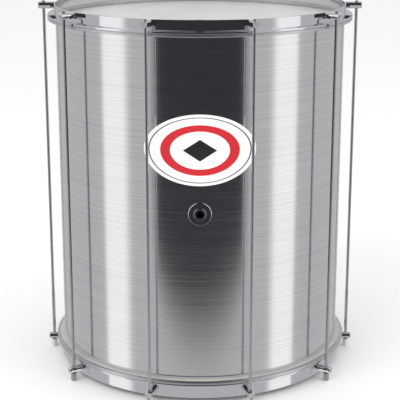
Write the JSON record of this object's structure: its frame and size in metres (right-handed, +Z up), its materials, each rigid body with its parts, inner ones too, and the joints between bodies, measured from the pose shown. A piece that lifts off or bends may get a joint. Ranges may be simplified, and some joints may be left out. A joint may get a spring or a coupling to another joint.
{
  "type": "bass drum",
  "caption": "Tall cylindrical bass drum with a polished aluminium shell, two film heads, flanged hoops and full-length tension rods with barrel lugs.",
  "frame": {"origin": "on the drum's axis, in the plane of the tuning nuts' lower faces, which the drum stands on", "axes": "+Z up along the drum's axis to the playing head; -Y to the front, with the vent and the badge"},
  "size_m": [0.571, 0.5458, 0.6519],
  "materials": {
    "polished_aluminium": "mirror polished",
    "chrome_plate": "polished",
    "flesh_hoop_aluminium": "satin",
    "zinc_plated_steel": "bright zinc",
    "head_film": "smooth matt film",
    "badge_enamel": "printed and lacquered"
  },
  "bodies": {
    "drum": {"shell": "polished_aluminium", "badge": "badge_enamel", "vent_eyelet": "chrome_plate", "vent_backing_ring": "chrome_plate", "top_head": "head_film", "top_flesh_hoop": "flesh_hoop_aluminium", "bottom_head": "head_film", "bottom_flesh_hoop": "flesh_hoop_aluminium", "bottom_counterhoop": "chrome_plate", "lower_lug_01": "chrome_plate", "lower_lug_02": "chrome_plate", "lower_lug_03": "chrome_plate", "lower_lug_04": "chrome_plate", "lower_lug_05": "chrome_plate", "lower_lug_06": "chrome_plate", "lower_lug_07": "chrome_plate", "lower_lug_08": "chrome_plate", "lower_lug_09": "chrome_plate", "lower_lug_10": "chrome_plate"},
    "top_hoop": {"top_counterhoop": "chrome_plate", "upper_lug_01": "chrome_plate", "upper_lug_02": "chrome_plate", "upper_lug_03": "chrome_plate", "upper_lug_04": "chrome_plate", "upper_lug_05": "chrome_plate", "upper_lug_06": "chrome_plate", "upper_lug_07": "chrome_plate", "upper_lug_08": "chrome_plate", "upper_lug_09": "chrome_plate", "upper_lug_10": "chrome_plate", "tension_rod_01": "zinc_plated_steel", "tension_rod_02": "zinc_plated_steel", "tension_rod_03": "zinc_plated_steel", "tension_rod_04": "zinc_plated_steel", "tension_rod_05": "zinc_plated_steel", "tension_rod_06": "zinc_plated_steel", "tension_rod_07": "zinc_plated_steel", "tension_rod_08": "zinc_plated_steel", "tension_rod_09": "zinc_plated_steel", "tension_rod_10": "zinc_plated_steel"},
    "nut_01": {"tuning_nut_01": "zinc_plated_steel"},
    "nut_02": {"tuning_nut_02": "zinc_plated_steel"},
    "nut_03": {"tuning_nut_03": "zinc_plated_steel"},
    "nut_04": {"tuning_nut_04": "zinc_plated_steel"},
    "nut_05": {"tuning_nut_05": "zinc_plated_steel"},
    "nut_06": {"tuning_nut_06": "zinc_plated_steel"},
    "nut_07": {"tuning_nut_07": "zinc_plated_steel"},
    "nut_08": {"tuning_nut_08": "zinc_plated_steel"},
    "nut_09": {"tuning_nut_09": "zinc_plated_steel"},
    "nut_10": {"tuning_nut_10": "zinc_plated_steel"}
  },
  "joints": [
    {"name": "top_hoop_slide", "type": "slide", "parent": "drum", "child": "top_hoop", "axis": [0, 0, 1], "range_m": [0, 0.008]},
    {"name": "nut_turn_01", "type": "hinge", "parent": "drum", "child": "nut_01", "pos_m": [0.08529, -0.26249, 0.0069], "axis": [0, 0, 1], "range_deg": [0, 2890]},
    {"name": "nut_turn_02", "type": "hinge", "parent": "drum", "child": "nut_02", "pos_m": [0.22329, -0.16223, 0.0069], "axis": [0, 0, 1], "range_deg": [0, 2890]},
    {"name": "nut_turn_03", "type": "hinge", "parent": "drum", "child": "nut_03", "pos_m": [0.276, 0, 0.0069], "axis": [0, 0, 1], "range_deg": [0, 2890]},
    {"name": "nut_turn_04", "type": "hinge", "parent": "drum", "child": "nut_04", "pos_m": [0.22329, 0.16223, 0.0069], "axis": [0, 0, 1], "range_deg": [0, 2890]},
    {"name": "nut_turn_05", "type": "hinge", "parent": "drum", "child": "nut_05", "pos_m": [0.08529, 0.26249, 0.0069], "axis": [0, 0, 1], "range_deg": [0, 2890]},
    {"name": "nut_turn_06", "type": "hinge", "parent": "drum", "child": "nut_06", "pos_m": [-0.08529, 0.26249, 0.0069], "axis": [0, 0, 1], "range_deg": [0, 2890]},
    {"name": "nut_turn_07", "type": "hinge", "parent": "drum", "child": "nut_07", "pos_m": [-0.22329, 0.16223, 0.0069], "axis": [0, 0, 1], "range_deg": [0, 2890]},
    {"name": "nut_turn_08", "type": "hinge", "parent": "drum", "child": "nut_08", "pos_m": [-0.276, 0, 0.0069], "axis": [0, 0, 1], "range_deg": [0, 2890]},
    {"name": "nut_turn_09", "type": "hinge", "parent": "drum", "child": "nut_09", "pos_m": [-0.22329, -0.16223, 0.0069], "axis": [0, 0, 1], "range_deg": [0, 2890]},
    {"name": "nut_turn_10", "type": "hinge", "parent": "drum", "child": "nut_10", "pos_m": [-0.08529, -0.26249, 0.0069], "axis": [0, 0, 1], "range_deg": [0, 2890]}
  ],
  "couplings": [
    {"joint": "nut_turn_01", "follows": "top_hoop_slide", "rad_per_m": 6283.2},
    {"joint": "nut_turn_02", "follows": "top_hoop_slide", "rad_per_m": 6283.2},
    {"joint": "nut_turn_03", "follows": "top_hoop_slide", "rad_per_m": 6283.2},
    {"joint": "nut_turn_04", "follows": "top_hoop_slide", "rad_per_m": 6283.2},
    {"joint": "nut_turn_05", "follows": "top_hoop_slide", "rad_per_m": 6283.2},
    {"joint": "nut_turn_06", "follows": "top_hoop_slide", "rad_per_m": 6283.2},
    {"joint": "nut_turn_07", "follows": "top_hoop_slide", "rad_per_m": 6283.2},
    {"joint": "nut_turn_08", "follows": "top_hoop_slide", "rad_per_m": 6283.2},
    {"joint": "nut_turn_09", "follows": "top_hoop_slide", "rad_per_m": 6283.2},
    {"joint": "nut_turn_10", "follows": "top_hoop_slide", "rad_per_m": 6283.2}
  ]
}
